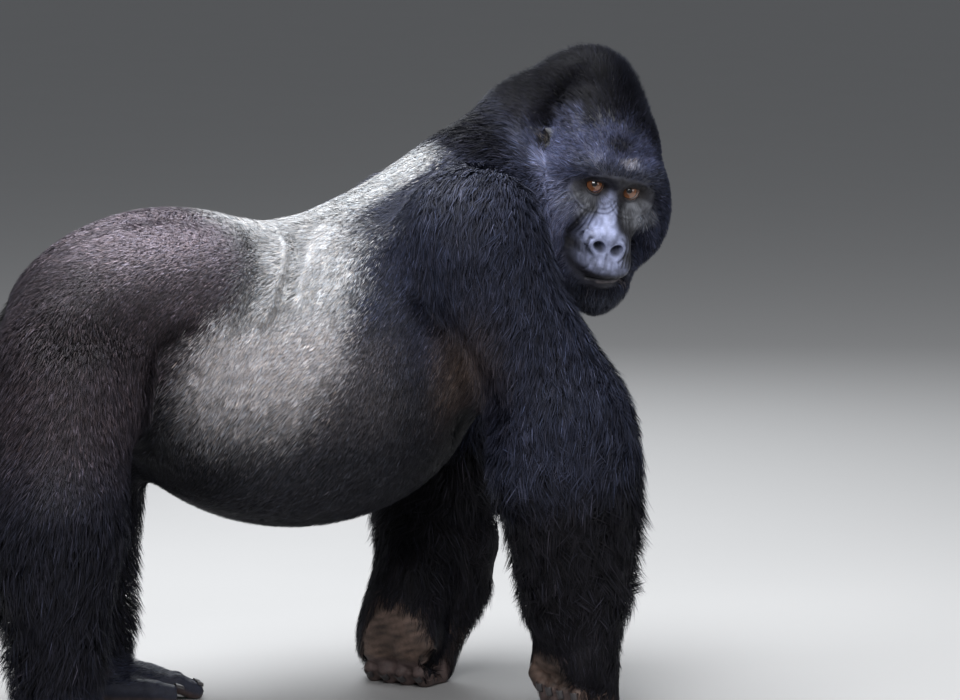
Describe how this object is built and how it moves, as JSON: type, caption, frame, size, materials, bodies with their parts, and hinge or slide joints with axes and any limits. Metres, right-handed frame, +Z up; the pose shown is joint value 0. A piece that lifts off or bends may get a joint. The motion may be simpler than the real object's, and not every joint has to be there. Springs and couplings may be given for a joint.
{
  "type": "gorilla",
  "caption": "Life-size silverback mountain gorilla on all fours, knuckles and soles on the floor, head turned to its right.",
  "frame": {"origin": "on the floor under the middle of the whole figure's box", "axes": "+Z up, the gorilla's body faces -Y, its left side is +X; its head is turned towards -X"},
  "size_m": [0.768, 1.289, 1.152],
  "materials": {
    "black_coat": "dense blue-black fur with a soft sheen, shaggy on the forearms and shanks",
    "silver_coat": "short silver-grey fur over the back and flanks, darker on the belly",
    "brown_coat": "brownish-black fur on the rump and thighs",
    "face_skin": "bare wrinkled grey-black skin of the face, a little shiny on the nose",
    "bare_skin": "bare wrinkled brown-black skin of the hands and feet",
    "eyeball": "wet orange-brown eye",
    "nail": "dull dark grey nail"
  },
  "bodies": {
    "root": {"trunk": "silver_coat", "neck": "black_coat", "head": "face_skin", "ear_left": "face_skin", "ear_right": "face_skin", "eye_left": "eyeball", "eye_right": "eyeball", "upper_arm_left": "black_coat", "upper_arm_right": "black_coat", "forearm_left": "black_coat", "forearm_right": "black_coat", "hand_left": "bare_skin", "hand_right": "bare_skin", "thigh_left": "brown_coat", "thigh_right": "brown_coat", "shank_left": "black_coat", "shank_right": "black_coat", "foot_left": "bare_skin", "foot_right": "bare_skin"}
  },
  "joints": []
}
